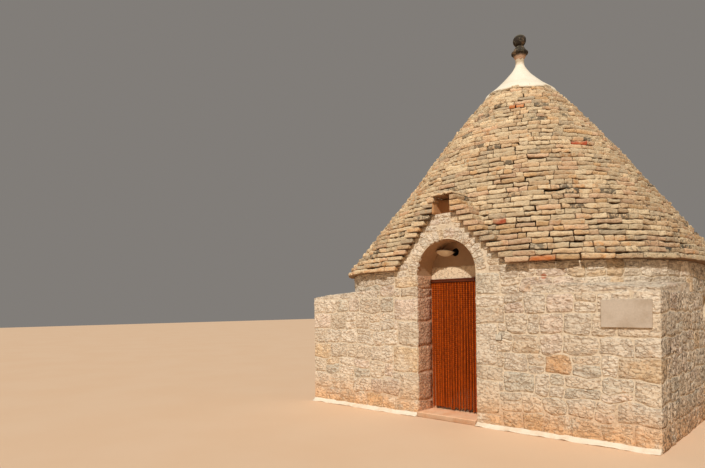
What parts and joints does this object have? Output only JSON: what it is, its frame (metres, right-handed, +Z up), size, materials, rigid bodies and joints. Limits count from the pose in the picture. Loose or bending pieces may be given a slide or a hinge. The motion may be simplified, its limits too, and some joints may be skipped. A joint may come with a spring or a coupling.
{
  "type": "trullo house",
  "caption": "Dry-stone house with a square room, rounded upper walls, a stepped slab cone with plaster cap and ball, and a stepped gable over an arched doorway.",
  "frame": {"origin": "on the ground under the axis of the cone", "axes": "+Z up along the cone's axis, +X to the right along the front wall seen from outside, +Y from the doorway into the house"},
  "size_m": [5.6818, 5.181, 6.375],
  "materials": {
    "limestone_wall": "rough hammered blocks with pale pointing",
    "limestone_slab": "golden roof slabs with dark lichen",
    "limestone_core": "rough corbelled stone",
    "limestone_dressed": "smooth sawn stone",
    "render_brown": "smooth brownish render",
    "lime_plaster": "smooth off-white lime plaster",
    "weathered_stone": "dark lichened stone",
    "rail_wood": "red-brown stained wood",
    "curtain_beads": "satin orange-brown beads",
    "frame_wood": "dark stained wood",
    "window_glass": "clear glass",
    "bell_plastic": "dull grey-brown"
  },
  "bodies": {
    "root": {"floor": "limestone_dressed", "threshold": "limestone_dressed", "lime_fillet": "lime_plaster", "front_wall_left": "limestone_wall", "front_wall_right": "limestone_wall", "left_wall": "limestone_wall", "back_wall": "limestone_wall", "right_wall_front": "limestone_wall", "right_wall_rear": "limestone_wall", "right_wall_under_window": "limestone_wall", "window_lintel": "limestone_dressed", "window_frame": "frame_wood", "window_pane": "window_glass", "ledge_front_left": "limestone_dressed", "ledge_front_right": "limestone_dressed", "ledge_back_left": "limestone_dressed", "ledge_back_right": "limestone_dressed", "drum_front_left": "limestone_wall", "drum_front_right": "limestone_wall", "drum_back_left": "limestone_wall", "drum_back_right": "limestone_wall", "door_lintel": "limestone_dressed", "tympanum": "render_brown", "gable_wall": "limestone_wall", "ridge_slab": "limestone_slab", "dome_tier_1": "limestone_core", "dome_tier_2": "limestone_core", "dome_tier_3": "limestone_core", "dome_tier_4": "limestone_core", "dome_tier_5": "limestone_core", "dome_crown": "limestone_core", "eave_course": "limestone_slab", "roof_tier_1": "limestone_slab", "roof_tier_2": "limestone_slab", "roof_tier_3": "limestone_slab", "roof_tier_4": "limestone_slab", "roof_tier_5": "limestone_slab", "plaster_cap": "lime_plaster", "pinnacle_bowl": "weathered_stone", "pinnacle_ball": "weathered_stone", "curtain_rail": "rail_wood", "bead_curtain": "curtain_beads", "wall_sconce": "limestone_dressed", "plaque": "limestone_dressed", "bell_box": "bell_plastic"}
  },
  "joints": []
}
